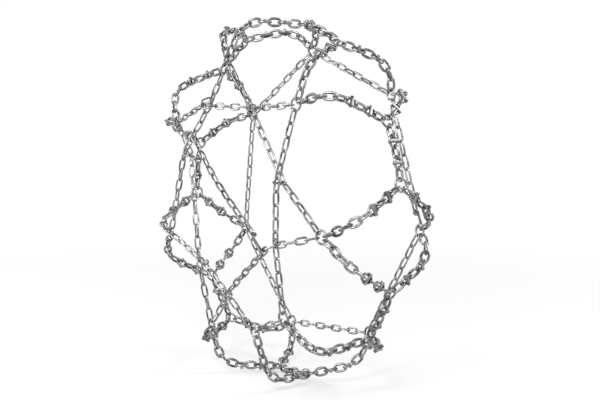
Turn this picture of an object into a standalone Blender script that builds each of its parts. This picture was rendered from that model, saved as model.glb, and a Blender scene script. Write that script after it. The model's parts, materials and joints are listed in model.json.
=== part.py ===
"""Snow chain net for a truck, in the shape it takes when it is fitted and tensioned.

The origin is the middle of the net, +Y runs along its axis to the inner side and +Z up.
Angles run clockwise from the top, as seen from the front, which is the -Y side.
Each strand is one chain of links, joined at the faces where the links bear on each other.
"""

import math
from collections import namedtuple

import bmesh
import bpy
from mathutils import Vector

# Round form that the net follows
TYRE_RADIUS = 0.538
TREAD_FLAT = 0.095
SHOULDER_RADIUS = 0.047
WALL_TURN = math.radians(80)
TYRE_CLEARANCE = 0.0005

# Net
REPEATS = 7
FIRST_FRONT_RING = math.radians(45.9)
NET_SHIFT = 0.018
GAP = 0.0003

# Short links of the tread
TREAD_PITCH = 0.0305
TREAD_BAR = 0.008
TREAD_DEPTH = 0.008
TREAD_INNER_HALF = 0.0065
FRONT_ARM_LINKS = 9
REAR_ARM_LINKS = 7
TREAD_CHAIN_LINKS = 5
# Links that carry a wear stud, counted from the tread ring
STUDDED_LINKS = (1, 3)
STUD_HALF_LENGTH = 0.0045
STUD_RISE = 0.004
STUD_SPREAD = 0.003

# Long links of the sides
LONG_PITCH = 0.041
LONG_BAR = 0.006
LONG_DEPTH = 0.006
LONG_INNER_HALF = 0.0052
CLOSING_LINKS = 2

# How the ends of a link are drawn in
END_DEPTH_SHARE = 0.85
END_WIDTH_SHARE = 0.5
FREE_END_HALF = 0.0046

# Rings
RING_INNER = 0.0155
RING_BAR = 0.007
RING_STEPS = 10
RING_SIDES = 5

# Star on the front: where the chains cross, as angle, radius and distance from the net's middle plane
STAR_CROSSINGS = (
    (73, 0.281, -0.190),
    (113, 0.262, -0.200),
    (187, 0.275, -0.180),
    (220, 0.288, -0.178),
    (297, 0.315, -0.176),
    (332, 0.338, -0.176),
    (22, 0.316, -0.176),
)
STAR_SPACING = 0.026
CLOSING_PLACE = 2
CLOSING_ANGLES = (math.radians(140.2), math.radians(163.5))

# Tension chain across the star
TENSION_FROM_STAR = 4
TENSION_TO_STAR = 1
TENSION_FROM = (312, 0.282, -0.180)
TENSION_TO = (123, 0.241, -0.205)
TENSION_HOOK_REACH = 0.070
TENSION_BOW = 0.016
TENSION_SWING_CLEARANCE = 0.0018

# Hooks
HOOK_HALF_THICKNESS = 0.0038
TENSION_HOOK_HALF_THICKNESS = 0.0026
HOOK_WALL = 0.005
HOOK_SHANK = 0.006
HOOK_TIP = 0.006
HOOK_CLEARANCE = 0.0006
HOOK_OVER_BAR = 0.001
HOOK_BACK_FROM = math.radians(100)
HOOK_BACK_STEP = math.radians(30)
HOOK_BACK_POINTS = 7
EYE_SIDES = 8
REAR_HOOK_PLACE = 0

STEEL = (0.62, 0.63, 0.64, 1)
STEEL_ROUGHNESS = 0.35
ROUTE_STEPS = 240
HALVINGS = 40

LinkKind = namedtuple("LinkKind", "bar depth inner_half")
Joint = namedtuple("Joint", "point along out across")
Ring = namedtuple("Ring", "centre out")
Strand = namedtuple("Strand", "joints kind")

TREAD_LINK = LinkKind(TREAD_BAR, TREAD_DEPTH, TREAD_INNER_HALF)
LONG_LINK = LinkKind(LONG_BAR, LONG_DEPTH, LONG_INNER_HALF)
REPEAT_ANGLE = 2 * math.pi / REPEATS
CHAIN_RISE = TREAD_INNER_HALF + TREAD_DEPTH + TYRE_CLEARANCE
NET_RADIUS = TYRE_RADIUS + CHAIN_RISE
NET_SHOULDER = SHOULDER_RADIUS + CHAIN_RISE
# A ring turns freely inside the end links, whose corners stay this far from its middle
SPIN_BEARING = math.sqrt((RING_INNER - GAP) ** 2 - (TREAD_BAR / 2) ** 2)
TREAD_CHAIN_ANGLE = (2 * SPIN_BEARING + TREAD_CHAIN_LINKS * TREAD_PITCH) / NET_RADIUS


def clear_scene():
    for item in list(bpy.data.objects):
        bpy.data.objects.remove(item)


def add_node(name, mesh_maker, origin=None):
    """Turns a finished bmesh into a named object whose origin is at the given point."""
    origin = origin or Vector((0, 0, 0))
    bmesh.ops.recalc_face_normals(mesh_maker, faces=mesh_maker.faces)
    bmesh.ops.translate(mesh_maker, verts=mesh_maker.verts, vec=-origin)
    mesh = bpy.data.meshes.new(name)
    mesh_maker.to_mesh(mesh)
    mesh_maker.free()
    node = bpy.data.objects.new(name, mesh)
    node.location = origin
    material = bpy.data.materials.new(name + "_steel")
    material.use_nodes = True
    shader = material.node_tree.nodes["Principled BSDF"]
    shader.inputs["Base Color"].default_value = STEEL
    shader.inputs["Metallic"].default_value = 1
    shader.inputs["Roughness"].default_value = STEEL_ROUGHNESS
    mesh.materials.append(material)
    bpy.context.scene.collection.objects.link(node)
    return node


def wheel_point(angle, radius, y):
    return Vector((radius * math.sin(angle), y, radius * math.cos(angle)))


def net_surface(angle, run):
    """Point and outward direction on the surface that the tread links follow.

    run is the way over the net from its middle plane: negative to the front, positive to the rear.
    """
    side = math.copysign(1, run)
    past_tread = abs(run) - TREAD_FLAT
    turn = min(max(past_tread / NET_SHOULDER, 0), WALL_TURN)
    down = max(past_tread - NET_SHOULDER * WALL_TURN, 0)
    radius = NET_RADIUS - NET_SHOULDER * (1 - math.cos(turn)) - down * math.sin(turn)
    width = min(abs(run), TREAD_FLAT) + NET_SHOULDER * math.sin(turn) + down * math.cos(turn)
    point = wheel_point(angle, radius, side * width)
    return point, wheel_point(angle, math.cos(turn), side * math.sin(turn))


def make_joint(point, along, out):
    along = along.normalized()
    out = (out - out.dot(along) * along).normalized()
    return Joint(point, along, out, along.cross(out))


def tread_route(start, end):
    """Straight way over the net's surface, from one (angle, run) to another, as points and directions."""
    route = []
    for step in range(ROUTE_STEPS + 1):
        share = step / ROUTE_STEPS
        angle = start[0] + (end[0] - start[0]) * share
        run = start[1] + (end[1] - start[1]) * share
        route.append(net_surface(angle, run))
    return route


def free_route(points, outs):
    """Straight runs between points in space, with the outward direction turning from first to last."""
    spans = list(zip(points, points[1:]))
    route = []
    for index, (start, end) in enumerate(spans):
        for step in range(ROUTE_STEPS // len(spans)):
            share = step / (ROUTE_STEPS // len(spans))
            whole = (index + share) / len(spans)
            route.append((start.lerp(end, share), outs[0].lerp(outs[1], whole)))
    route.append((points[-1], outs[1]))
    return route


def route_length(route):
    return sum((b[0] - a[0]).length for a, b in zip(route, route[1:]))


def place_on_route(route, distance):
    for (start, start_out), (end, end_out) in zip(route, route[1:]):
        step = (end - start).length
        if distance <= step:
            share = distance / step
            return start.lerp(end, share), end - start, start_out.lerp(end_out, share)
        distance -= step
    return route[-1][0], route[-1][0] - route[-2][0], route[-1][1]


def ring_joint(ring, towards, reach, sense):
    """Bearing face on a ring, on the side that faces a point. sense is 1 where a strand starts."""
    direction = towards - ring.centre
    direction = (direction - direction.dot(ring.out) * ring.out).normalized()
    return make_joint(ring.centre + reach * direction, sense * direction, ring.out)


def strand_joints(route, count, first, last):
    """Bearing faces along a route, evenly spaced between its given first and last."""
    skip_first = (first.point - route[0][0]).length
    skip_last = (last.point - route[-1][0]).length
    pitch = (route_length(route) - skip_first - skip_last) / count
    joints = [first]
    for index in range(1, count):
        joints.append(make_joint(*place_on_route(route, skip_first + index * pitch)))
    joints.append(last)
    return joints


def odd_count(length, pitch):
    return 2 * round((length / pitch - 1) / 2) + 1


def bearing_corners(maker, joint, bar):
    """Corners of the square face where two links, or a link and a ring, bear on each other."""
    return {
        (i, j): maker.verts.new(joint.point + bar / 2 * (i * joint.out + j * joint.across))
        for i in (1, -1)
        for j in (1, -1)
    }


def end_station(maker, joint, corners, kind, flat, side, facing):
    """Section of the bar at one corner of a link's end: two inner points and an outer one."""
    wide, thick = (joint.across, joint.out) if flat else (joint.out, joint.across)
    half = kind.bar / 2 if corners else FREE_END_HALF
    if corners:
        inner = [corners[(level, side) if flat else (side, level)] for level in (1, -1)]
    else:
        start = joint.point + side * half * wide
        inner = [maker.verts.new(start + level * kind.bar / 2 * thick) for level in (1, -1)]
    tip = joint.point + side * (half + END_WIDTH_SHARE * kind.depth) * wide
    tip += facing * END_DEPTH_SHARE * kind.depth * joint.along
    return (*inner, maker.verts.new(tip))


def side_station(maker, middle, kind, flat, side, offset, stud):
    """Section of the bar on the long side of a link, thickened outwards where it carries a wear stud."""
    wide, thick = (middle.across, middle.out) if flat else (middle.out, middle.across)
    start = middle.point + offset * middle.along + side * kind.inner_half * wide
    rise = STUD_RISE if stud else 0
    spread = STUD_SPREAD if stud else 0
    upper = maker.verts.new(start + (kind.bar / 2 + rise) * thick)
    lower = maker.verts.new(start - kind.bar / 2 * thick)
    outer = maker.verts.new(start + side * (kind.depth + spread) * wide + rise * thick)
    return upper, lower, outer


def bridge_stations(maker, stations, open_spans):
    """Skins a closed loop of three-point sections. The inner face is left out on the open spans."""
    for index, here in enumerate(stations):
        there = stations[(index + 1) % len(stations)]
        if index not in open_spans:
            maker.faces.new((here[0], here[1], there[1], there[0]))
        maker.faces.new((here[0], there[0], there[2], here[2]))
        maker.faces.new((here[1], here[2], there[2], there[1]))


def add_link(maker, start, end, kind, flat, stud=False):
    """One link between two joints. Each end is a (joint, corners) pair, with no corners on a free end."""
    (first, _), (last, _) = start, end
    middle = make_joint((first.point + last.point) / 2, last.point - first.point, first.out + last.out)
    offsets = (STUD_HALF_LENGTH, -STUD_HALF_LENGTH) if stud else (0,)
    stations = []
    for side in (1, -1):
        row = [end_station(maker, *end, kind, flat, side, 1)]
        row += [side_station(maker, middle, kind, flat, side, offset, stud) for offset in offsets]
        row += [end_station(maker, *start, kind, flat, side, -1)]
        stations += row if side == 1 else row[::-1]
    start_span, end_span = len(stations) // 2 - 1, len(stations) - 1
    open_spans = [start_span] if start[1] else []
    open_spans += [end_span] if end[1] else []
    bridge_stations(maker, stations, open_spans)


def add_strand(maker, strand, first=None, last=None, studs=()):
    """Links of one strand: upright first, then lying and upright by turns. first and last are ring corners."""
    joints, kind = strand
    corners = [first] + [bearing_corners(maker, joint, kind.bar) for joint in joints[1:-1]] + [last]
    ends = list(zip(joints, corners))
    for index, (start, end) in enumerate(zip(ends, ends[1:])):
        add_link(maker, start, end, kind, index % 2 == 1, index in studs)


def nearest_corner(corners, point):
    return min(corners.values(), key=lambda vert: (vert.co - point).length)


def add_ring(maker, ring, seats):
    """Ring with a flat seat for each strand. A seat is a (direction, corners) pair."""
    first = seats[0][0]
    turned = ring.out.cross(first)

    def polar(direction):
        return math.atan2(direction.dot(turned), direction.dot(first)) % (2 * math.pi)

    def radial(angle):
        return first * math.cos(angle) + turned * math.sin(angle)

    half_seat = TREAD_BAR / 2
    half_angle = math.atan2(half_seat, RING_INNER)
    corner_radius = math.hypot(half_seat, RING_INNER)
    ordered = sorted(((polar(way), corners) for way, corners in seats), key=lambda seat: seat[0])
    stations, open_spans = [], []
    for index, (angle, corners) in enumerate(ordered):
        if corners:
            open_spans.append(len(stations))
        following = ordered[(index + 1) % len(ordered)][0] + 2 * math.pi * (index + 1 == len(ordered))
        middle = (angle + following) / 2
        angles = [angle - half_angle, angle + half_angle, middle]
        for place in angles:
            inner = ring.centre + corner_radius * radial(place)
            points = [inner + level * half_seat * ring.out for level in (1, -1)]
            if corners and place != middle:
                verts = [nearest_corner(corners, point) for point in points]
            else:
                verts = [maker.verts.new(point) for point in points]
            tip = maker.verts.new(ring.centre + (corner_radius + RING_BAR) * radial(place))
            stations.append((*verts, tip))
    bridge_stations(maker, stations, open_spans)


def tread_ring(angle):
    return Ring(*net_surface(angle, NET_SHIFT))


def end_run(from_angle, to_angle, side, count):
    """How far over the net an arm with so many links reaches from its tread ring to its end ring."""
    wanted = SPIN_BEARING + count * TREAD_PITCH + RING_INNER
    low, high = NET_SHIFT, side * (TREAD_FLAT + NET_SHOULDER * WALL_TURN + NET_RADIUS)
    for _ in range(HALVINGS):
        middle = (low + high) / 2
        if route_length(tread_route((from_angle, NET_SHIFT), (to_angle, middle))) < wanted:
            low = middle
        else:
            high = middle
    return low


def arm_strand(from_angle, to_angle, run, count):
    """Strand from a tread ring, over the shoulder, to a ring on the side."""
    route = tread_route((from_angle, NET_SHIFT), (to_angle, run))
    tread_end, wall_end = tread_ring(from_angle), Ring(*net_surface(to_angle, run))
    near_tread = place_on_route(route, SPIN_BEARING)[0]
    near_wall = place_on_route(route, route_length(route) - RING_INNER)[0]
    first = ring_joint(tread_end, near_tread, SPIN_BEARING, 1)
    last = ring_joint(wall_end, near_wall, RING_INNER, -1)
    return Strand(strand_joints(route, count, first, last), TREAD_LINK)


def segment_angle(index):
    return FIRST_FRONT_RING + (index + 0.5) * REPEAT_ANGLE


def ring_angles(index):
    """Angles of the two tread rings of one studded tread chain."""
    middle = segment_angle(index)
    return middle - TREAD_CHAIN_ANGLE / 2, middle + TREAD_CHAIN_ANGLE / 2


def add_cross_chain(name, ring, arms, others):
    """Arms joined to their ring on the side. others are points that free strands leave the ring for."""
    maker = bmesh.new()
    seats = []
    for arm in arms:
        last = arm.joints[-1]
        corners = bearing_corners(maker, last, TREAD_BAR)
        add_strand(maker, arm, last=corners, studs=STUDDED_LINKS)
        seats.append((-last.along, corners))
    for point in others:
        seats.append((ring_joint(ring, point, RING_INNER, 1).along, None))
    add_ring(maker, ring, seats)
    add_node(name, maker)


def add_free_strand(name, strand, studs=(), origin=None):
    maker = bmesh.new()
    add_strand(maker, strand, studs=studs)
    return add_node(name, maker, origin)


def add_tread_chains():
    for index in range(REPEATS):
        start, end = ring_angles(index)
        route = tread_route((start, NET_SHIFT), (end, NET_SHIFT))
        first = ring_joint(tread_ring(start), tread_ring(end).centre, SPIN_BEARING, 1)
        last = ring_joint(tread_ring(end), tread_ring(start).centre, SPIN_BEARING, -1)
        joints = strand_joints(route, TREAD_CHAIN_LINKS, first, last)
        add_free_strand(f"tread_chain_{index + 1}", Strand(joints, TREAD_LINK), STUDDED_LINKS)


def add_tread_rings():
    for index in range(REPEATS):
        for letter, angle in zip("ab", ring_angles(index)):
            ring = tread_ring(angle)
            name = f"tread_ring_{index + 1}{letter}"
            maker = bmesh.new()
            inner = RING_INNER / math.cos(math.pi / RING_STEPS)
            side = wheel_point(angle + math.pi / 2, 1, 0)
            section = bmesh.ops.create_circle(maker, segments=RING_SIDES, radius=RING_BAR / 2)["verts"]
            for vert in section:
                depth, height = vert.co.x, vert.co.y
                vert.co = ring.centre + side * (inner + RING_BAR / 2 - depth) + ring.out * height
            edges = list(maker.edges)
            bmesh.ops.spin(
                maker, geom=section + edges, cent=ring.centre, axis=ring.out,
                angle=2 * math.pi, steps=RING_STEPS, use_merge=True, use_duplicate=False,
            )
            add_node(name, maker, ring.centre)
            report_hinge(name, ring.centre, ring.out)


def report_hinge(name, point, axis):
    print("hinge", name, [round(v, 6) for v in point], [round(v, 6) for v in axis])


def front_rings():
    """Front rings by place. The closing place has two, one on each side of the closing hook."""
    rings = {}
    for index in range(REPEATS):
        before, after = ring_angles(index - 1)[1], ring_angles(index)[0]
        middle = FIRST_FRONT_RING + index * REPEAT_ANGLE
        angles = CLOSING_ANGLES if index == CLOSING_PLACE else (middle, middle)
        runs = [end_run(a, b, -1, FRONT_ARM_LINKS) for a, b in zip((before, after), angles)]
        rings[index] = [
            (Ring(*net_surface(angle, run)), arm_strand(start, angle, run, FRONT_ARM_LINKS))
            for start, angle, run in zip((before, after), angles, runs)
        ]
    return rings


def star_point(index, level):
    """Where a star chain crosses its neighbour: level -1 passes in front, level 1 behind."""
    angle, radius, y = STAR_CROSSINGS[index % REPEATS]
    return wheel_point(math.radians(angle), radius, y + level * STAR_SPACING / 2)


def star_strand(start, end, first_bend, second_bend):
    points = [start.centre, first_bend, second_bend, end.centre]
    route = free_route(points, (start.out, end.out))
    first = ring_joint(start, first_bend, RING_INNER - GAP, 1)
    last = ring_joint(end, second_bend, RING_INNER - GAP, -1)
    count = odd_count(route_length(route) - 2 * RING_INNER, LONG_PITCH)
    return Strand(strand_joints(route, count, first, last), LONG_LINK)


def add_front(rings):
    """Cross chains and star chains of the front. Returns the star chains' strands."""
    for index in range(REPEATS):
        ends = rings[index]
        into, out_of = star_point(index - 1, 1), star_point(index, -1)
        if index == CLOSING_PLACE:
            gap_points = [ends[1][0].centre, ends[0][0].centre]
            for letter, end, star, gap_point in zip("ab", ends, (into, out_of), gap_points):
                add_cross_chain(f"front_closing_arm_{letter}", end[0], [end[1]], [star, gap_point])
        else:
            arms = [end[1] for end in ends]
            add_cross_chain(f"front_cross_chain_{index + 1}", ends[0][0], arms, [into, out_of])
    strands = []
    for index in range(REPEATS):
        start = rings[index][1][0]
        end = rings[(index + 2) % REPEATS][0][0]
        strand = star_strand(start, end, star_point(index, -1), star_point(index + 1, 1))
        add_free_strand(f"star_chain_{index + 1}", strand)
        strands.append(strand)
    return strands


def add_rear():
    rings, arms = [], []
    for index in range(REPEATS):
        before, after = ring_angles(index - 1)[1], ring_angles(index)[0]
        middle = FIRST_FRONT_RING + index * REPEAT_ANGLE
        run = end_run(after, middle, 1, REAR_ARM_LINKS)
        rings.append(Ring(*net_surface(middle, run)))
        arms.append([arm_strand(start, middle, run, REAR_ARM_LINKS) for start in (before, after)])
    for index, ring in enumerate(rings):
        sides = [rings[index - 1].centre, rings[(index + 1) % REPEATS].centre]
        add_cross_chain(f"rear_cross_chain_{index + 1}", ring, arms[index], sides)
    for index, start in enumerate(rings):
        end = rings[(index + 1) % REPEATS]
        route = free_route([start.centre, end.centre], (start.out, end.out))
        first = ring_joint(start, end.centre, RING_INNER - GAP, 1)
        last = ring_joint(end, start.centre, RING_INNER - GAP, -1)
        count = odd_count(route_length(route) - 2 * RING_INNER, LONG_PITCH)
        joints = strand_joints(route, count, first, last)
        if index == REAR_HOOK_PLACE:
            seat = ring_joint(end, start.centre, RING_INNER, -1)
            joints = joints[:-1]
            way = seat.point - joints[-1].point
            joints[-1] = make_joint(joints[-1].point, way, end.out)
            add_hook("rear_hook", joints[-1], way.length, TREAD_BAR / 2)
        add_free_strand(f"rear_side_chain_{index + 1}", Strand(joints, LONG_LINK))


def add_hook(name, joint, reach, bar_half, half_thickness=HOOK_HALF_THICKNESS, slant=0):
    """Flat hook that turns on the last link of a chain and drops over a bar at the given reach.

    Its outline lies in the plane of the chain and the outward direction, and opens inwards.
    slant is the angle by which the bar is turned from square to the hook.
    """
    eye_x = END_DEPTH_SHARE * LONG_DEPTH / 2
    eye_radius = math.hypot(eye_x, LONG_BAR / 2) + GAP
    outer_radius = eye_radius + HOOK_WALL
    under = bar_half + HOOK_OVER_BAR
    top = under + HOOK_SHANK
    tip_x = reach + HOOK_CLEARANCE + half_thickness * math.tan(slant)
    outline = [(tip_x, under), (tip_x, -bar_half), (tip_x + HOOK_TIP / 2, -under - HOOK_TIP / 4)]
    outline += [(tip_x + HOOK_TIP, -bar_half), (tip_x + HOOK_TIP, under), (tip_x + HOOK_TIP / 3, top)]
    for step in range(HOOK_BACK_POINTS):
        angle = HOOK_BACK_FROM + step * HOOK_BACK_STEP
        outline.append((eye_x + outer_radius * math.cos(angle), outer_radius * math.sin(angle)))
    outline.append((eye_x + outer_radius, under))
    hole_radius = eye_radius / math.cos(math.pi / EYE_SIDES)
    hole = []
    for step in range(EYE_SIDES):
        angle = 2 * math.pi * (step + 0.5) / EYE_SIDES
        hole.append((eye_x + hole_radius * math.cos(angle), hole_radius * math.sin(angle)))
    maker = bmesh.new()
    for loop in (outline, hole):
        verts = [
            maker.verts.new(joint.point + x * joint.along + z * joint.out - half_thickness * joint.across)
            for x, z in loop
        ]
        for start, end in zip(verts, verts[1:] + verts[:1]):
            maker.edges.new((start, end))
    filled = bmesh.ops.triangle_fill(maker, use_beauty=True, edges=list(maker.edges))
    faces = [item for item in filled["geom"] if isinstance(item, bmesh.types.BMFace)]
    grown = bmesh.ops.extrude_face_region(maker, geom=faces)
    raised = [item for item in grown["geom"] if isinstance(item, bmesh.types.BMVert)]
    bmesh.ops.translate(maker, verts=raised, vec=2 * half_thickness * joint.across)
    pivot = joint.point + eye_x * joint.along
    add_node(name, maker, pivot)
    report_hinge(name, pivot, joint.across)


def add_closing(rings):
    """Closing chain on the first ring of the closing place, with the hook that drops into the second."""
    start, end = (ring for ring, _ in rings[CLOSING_PLACE])
    first = ring_joint(start, end.centre, RING_INNER - GAP, 1)
    seat = ring_joint(end, start.centre, RING_INNER, -1)
    way = seat.point - first.point
    last_point = first.point + way.normalized() * CLOSING_LINKS * LONG_PITCH
    last = make_joint(last_point, way, end.out)
    route = [(first.point, start.out), (last_point, start.out)]
    joints = strand_joints(route, CLOSING_LINKS, first, last)
    add_free_strand("closing_chain", Strand(joints, LONG_LINK))
    reach = (seat.point - last_point).length
    add_hook("closing_hook", last, reach, TREAD_BAR / 2)


def lying_link(strand, place):
    """Middle of the lying link that is nearest to a place, with its way towards the net's axis."""
    angle, radius, y = place
    target = wheel_point(math.radians(angle), radius, y)
    links = list(zip(strand.joints, strand.joints[1:]))[1::2]
    start, end = min(links, key=lambda pair: ((pair[0].point + pair[1].point) / 2 - target).length)
    middle = make_joint((start.point + end.point) / 2, end.point - start.point, start.out + end.out)
    sense = 1 if middle.across.dot(-middle.point) > 0 else -1
    return middle, sense * middle.across


def add_tension(star_strands):
    """Tension chain from one star chain across the middle, and the hook that pulls on another."""
    upper, upper_way = lying_link(star_strands[TENSION_FROM_STAR], TENSION_FROM)
    lower, lower_way = lying_link(star_strands[TENSION_TO_STAR], TENSION_TO)
    bar_face = upper.point + LONG_INNER_HALF * upper_way
    start = bar_face - TENSION_SWING_CLEARANCE * upper_way
    seat = lower.point + LONG_INNER_HALF * lower_way
    way = (seat - start).normalized()
    end = seat - TENSION_HOOK_REACH * way
    out = Vector((0, -1, 0))
    route = []
    for step in range(ROUTE_STEPS + 1):
        share = step / ROUTE_STEPS
        bow = TENSION_BOW * math.sin(math.pi * share)
        route.append((start.lerp(end, share) + bow * out, out))
    count = 2 * round(route_length(route) / LONG_PITCH / 2)
    first = make_joint(start, upper_way, upper.out)
    last = make_joint(end, seat - end, lower.out)
    joints = strand_joints(route, count, first, last)
    pivot = bar_face + END_DEPTH_SHARE * LONG_DEPTH / 2 * upper_way
    add_free_strand("tension_chain", Strand(joints, LONG_LINK), origin=pivot)
    report_hinge("tension_chain", pivot, upper_way.cross(upper.out))
    slant = last.along.angle(-lower_way)
    add_hook("tension_hook", last, TENSION_HOOK_REACH, LONG_BAR / 2, TENSION_HOOK_HALF_THICKNESS, slant)


def main():
    clear_scene()
    add_tread_rings()
    add_tread_chains()
    rings = front_rings()
    star_strands = add_front(rings)
    add_rear()
    add_closing(rings)
    add_tension(star_strands)


main()
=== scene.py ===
# %% [markdown]
# # A snow chain net for a truck
# The net is a few hundred welded steel links. The packed solids give its structure: where every strand
# runs, which ring joins which arms, and what turns. They have few faces, so each link there has a
# three-cornered bar. Here every solid is replaced by a strand of round links in the same place.
# The frame comes first, because each piece that is made below rides on one of its bodies.

# %% load the frame
import json
import math
import random
from collections import namedtuple

import bmesh
import bpy
from mathutils import Matrix, Vector

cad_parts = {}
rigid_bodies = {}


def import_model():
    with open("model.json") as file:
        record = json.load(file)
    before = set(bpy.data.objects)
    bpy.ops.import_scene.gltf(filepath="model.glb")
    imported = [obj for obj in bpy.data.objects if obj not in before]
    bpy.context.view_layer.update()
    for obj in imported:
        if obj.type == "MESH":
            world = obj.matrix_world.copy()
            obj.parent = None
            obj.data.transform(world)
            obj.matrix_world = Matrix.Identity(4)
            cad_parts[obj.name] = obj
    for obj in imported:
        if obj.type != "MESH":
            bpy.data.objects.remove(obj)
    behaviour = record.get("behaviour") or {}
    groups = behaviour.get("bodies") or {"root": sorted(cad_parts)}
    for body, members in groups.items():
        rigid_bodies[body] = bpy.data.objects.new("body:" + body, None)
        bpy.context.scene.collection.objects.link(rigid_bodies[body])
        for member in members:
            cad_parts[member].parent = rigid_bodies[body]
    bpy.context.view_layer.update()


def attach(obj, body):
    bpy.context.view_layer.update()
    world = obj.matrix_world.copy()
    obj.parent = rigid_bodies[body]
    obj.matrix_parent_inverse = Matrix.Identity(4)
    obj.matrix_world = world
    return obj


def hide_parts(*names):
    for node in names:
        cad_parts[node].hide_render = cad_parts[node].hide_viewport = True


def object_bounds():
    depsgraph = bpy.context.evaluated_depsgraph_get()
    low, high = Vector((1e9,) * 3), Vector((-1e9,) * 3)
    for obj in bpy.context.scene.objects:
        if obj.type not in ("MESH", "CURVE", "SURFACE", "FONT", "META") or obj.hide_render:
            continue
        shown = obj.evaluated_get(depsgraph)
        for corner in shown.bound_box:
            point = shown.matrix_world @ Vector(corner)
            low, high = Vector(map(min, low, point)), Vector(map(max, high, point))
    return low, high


for startup_object in list(bpy.data.objects):
    bpy.data.objects.remove(startup_object)
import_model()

# %% [markdown]
# ## The form of the net
# A fitted net has the form of a broad hoop with round shoulders. Its links could be placed by hand, but
# then a change of one size would mean placing them all again. So the form follows from a few driving sizes,
# the same as those of the solids, in metres. Tread links are short and thick, and the links of the sides
# are long and thin. Angles run clockwise from the top, as seen from the front, which is the -Y side.

# %% driving sizes
FIT_RADIUS = 0.538
FIT_CLEARANCE = 0.0005
TREAD_FLAT = 0.095
SHOULDER_RADIUS = 0.047
WALL_TURN = math.radians(80)
NET_SHIFT = 0.018
GAP = 0.0003

LinkKind = namedtuple("LinkKind", "pitch wire inner_half")
TREAD_LINK = LinkKind(pitch=0.0305, wire=0.008, inner_half=0.0065)
LONG_LINK = LinkKind(pitch=0.041, wire=0.006, inner_half=0.0052)

CHAIN_RISE = TREAD_LINK.inner_half + TREAD_LINK.wire + FIT_CLEARANCE
NET_RADIUS = FIT_RADIUS + CHAIN_RISE
NET_SHOULDER = SHOULDER_RADIUS + CHAIN_RISE
print(f"middle of the tread links: {NET_RADIUS:.4f} m from the net's axis")

# %% [markdown]
# ## Joints on the surface
# Links bear on each other at joints. A joint keeps its place and three directions: along the strand, out
# from the net, and across. With these, a link can be set down anywhere without a rotation by hand.
# A place on the surface is an angle and a run, which is the way over the net from its middle plane:
# negative to the front, positive to the rear.

# %% joints
Joint = namedtuple("Joint", "point along out across")


def round_point(angle, radius, y):
    return Vector((radius * math.sin(angle), y, radius * math.cos(angle)))


def net_surface(angle, run):
    """Point and outward direction on the surface that the tread links follow."""
    side = math.copysign(1, run)
    past_tread = abs(run) - TREAD_FLAT
    turn = min(max(past_tread / NET_SHOULDER, 0), WALL_TURN)
    down = max(past_tread - NET_SHOULDER * WALL_TURN, 0)
    radius = NET_RADIUS - NET_SHOULDER * (1 - math.cos(turn)) - down * math.sin(turn)
    width = min(abs(run), TREAD_FLAT) + NET_SHOULDER * math.sin(turn) + down * math.cos(turn)
    point = round_point(angle, radius, side * width)
    return point, round_point(angle, math.cos(turn), side * math.sin(turn))


def make_joint(point, along, out):
    along = along.normalized()
    out = (out - out.dot(along) * along).normalized()
    return Joint(point, along, out, along.cross(out))


shoulder_end, _ = net_surface(0, TREAD_FLAT + NET_SHOULDER * WALL_TURN)
print(f"the shoulder ends {shoulder_end.y:.3f} m from the middle plane")

# %% [markdown]
# ## Routes
# A chain that is pulled tight over a round form takes the shortest way. Unrolled, that form is nearly
# flat, so a straight line in (angle, run) is a good route. Away from the surface, a strand runs straight
# from point to point. A curve object could hold a route as well, but a plain list of places, each with
# its outward direction, is easier to measure.

# %% routes
ROUTE_STEPS = 240


def tread_route(start, end):
    """Straight way over the surface from one (angle, run) to another."""
    shares = [step / ROUTE_STEPS for step in range(ROUTE_STEPS + 1)]
    return [
        net_surface(start[0] + (end[0] - start[0]) * share, start[1] + (end[1] - start[1]) * share)
        for share in shares
    ]


def free_route(points, outs):
    """Straight runs between points, with the outward direction turning from the first to the last."""
    spans = list(zip(points, points[1:]))
    steps = ROUTE_STEPS // len(spans)
    route = []
    for index, (start, end) in enumerate(spans):
        for step in range(steps):
            share = step / steps
            route.append((start.lerp(end, share), outs[0].lerp(outs[1], (index + share) / len(spans))))
    return route + [(points[-1], outs[1])]


def route_length(route):
    return sum((b[0] - a[0]).length for a, b in zip(route, route[1:]))


def place_on_route(route, distance):
    """Point, way along and outward direction at a distance from a route's start."""
    for (start, start_out), (end, end_out) in zip(route, route[1:]):
        step = (end - start).length
        if distance <= step:
            share = distance / step
            return start.lerp(end, share), end - start, start_out.lerp(end_out, share)
        distance -= step
    return route[-1][0], route[-1][0] - route[-2][0], route[-1][1]


once_round = tread_route((0, NET_SHIFT), (2 * math.pi, NET_SHIFT))
print(f"once round the tread: {route_length(once_round):.2f} m")

# %% [markdown]
# ## Joints along a route
# A strand starts and ends on rings, and its other joints are spaced evenly between. Its end links both
# stand upright, so that they pass through the rings, and the number of its links is therefore odd.

# %% joints along a route
Ring = namedtuple("Ring", "centre out")


def ring_joint(ring, towards, reach, sense):
    """Joint on a ring, on the side that faces a point. sense is 1 at a strand's start, -1 at its end."""
    direction = towards - ring.centre
    direction = (direction - direction.dot(ring.out) * ring.out).normalized()
    return make_joint(ring.centre + reach * direction, sense * direction, ring.out)


def strand_joints(route, count, first, last):
    skip_first = (first.point - route[0][0]).length
    skip_last = (last.point - route[-1][0]).length
    pitch = (route_length(route) - skip_first - skip_last) / count
    middle = [make_joint(*place_on_route(route, skip_first + i * pitch)) for i in range(1, count)]
    return [first, *middle, last]


def odd_count(length, pitch):
    return 2 * round((length / pitch - 1) / 2) + 1


print("links pitched", TREAD_LINK.pitch, "m on the tread and", LONG_LINK.pitch, "m on the sides")

# %% [markdown]
# ## Strands of the tread
# Seven short chains lie round the tread, each between two rings that turn freely in the links on them.
# The net repeats seven times, so a place is an index and an angle, and no place is typed twice. The
# corners of an end link stay clear of its ring's inside, which sets how far from the middle it bears.

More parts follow.
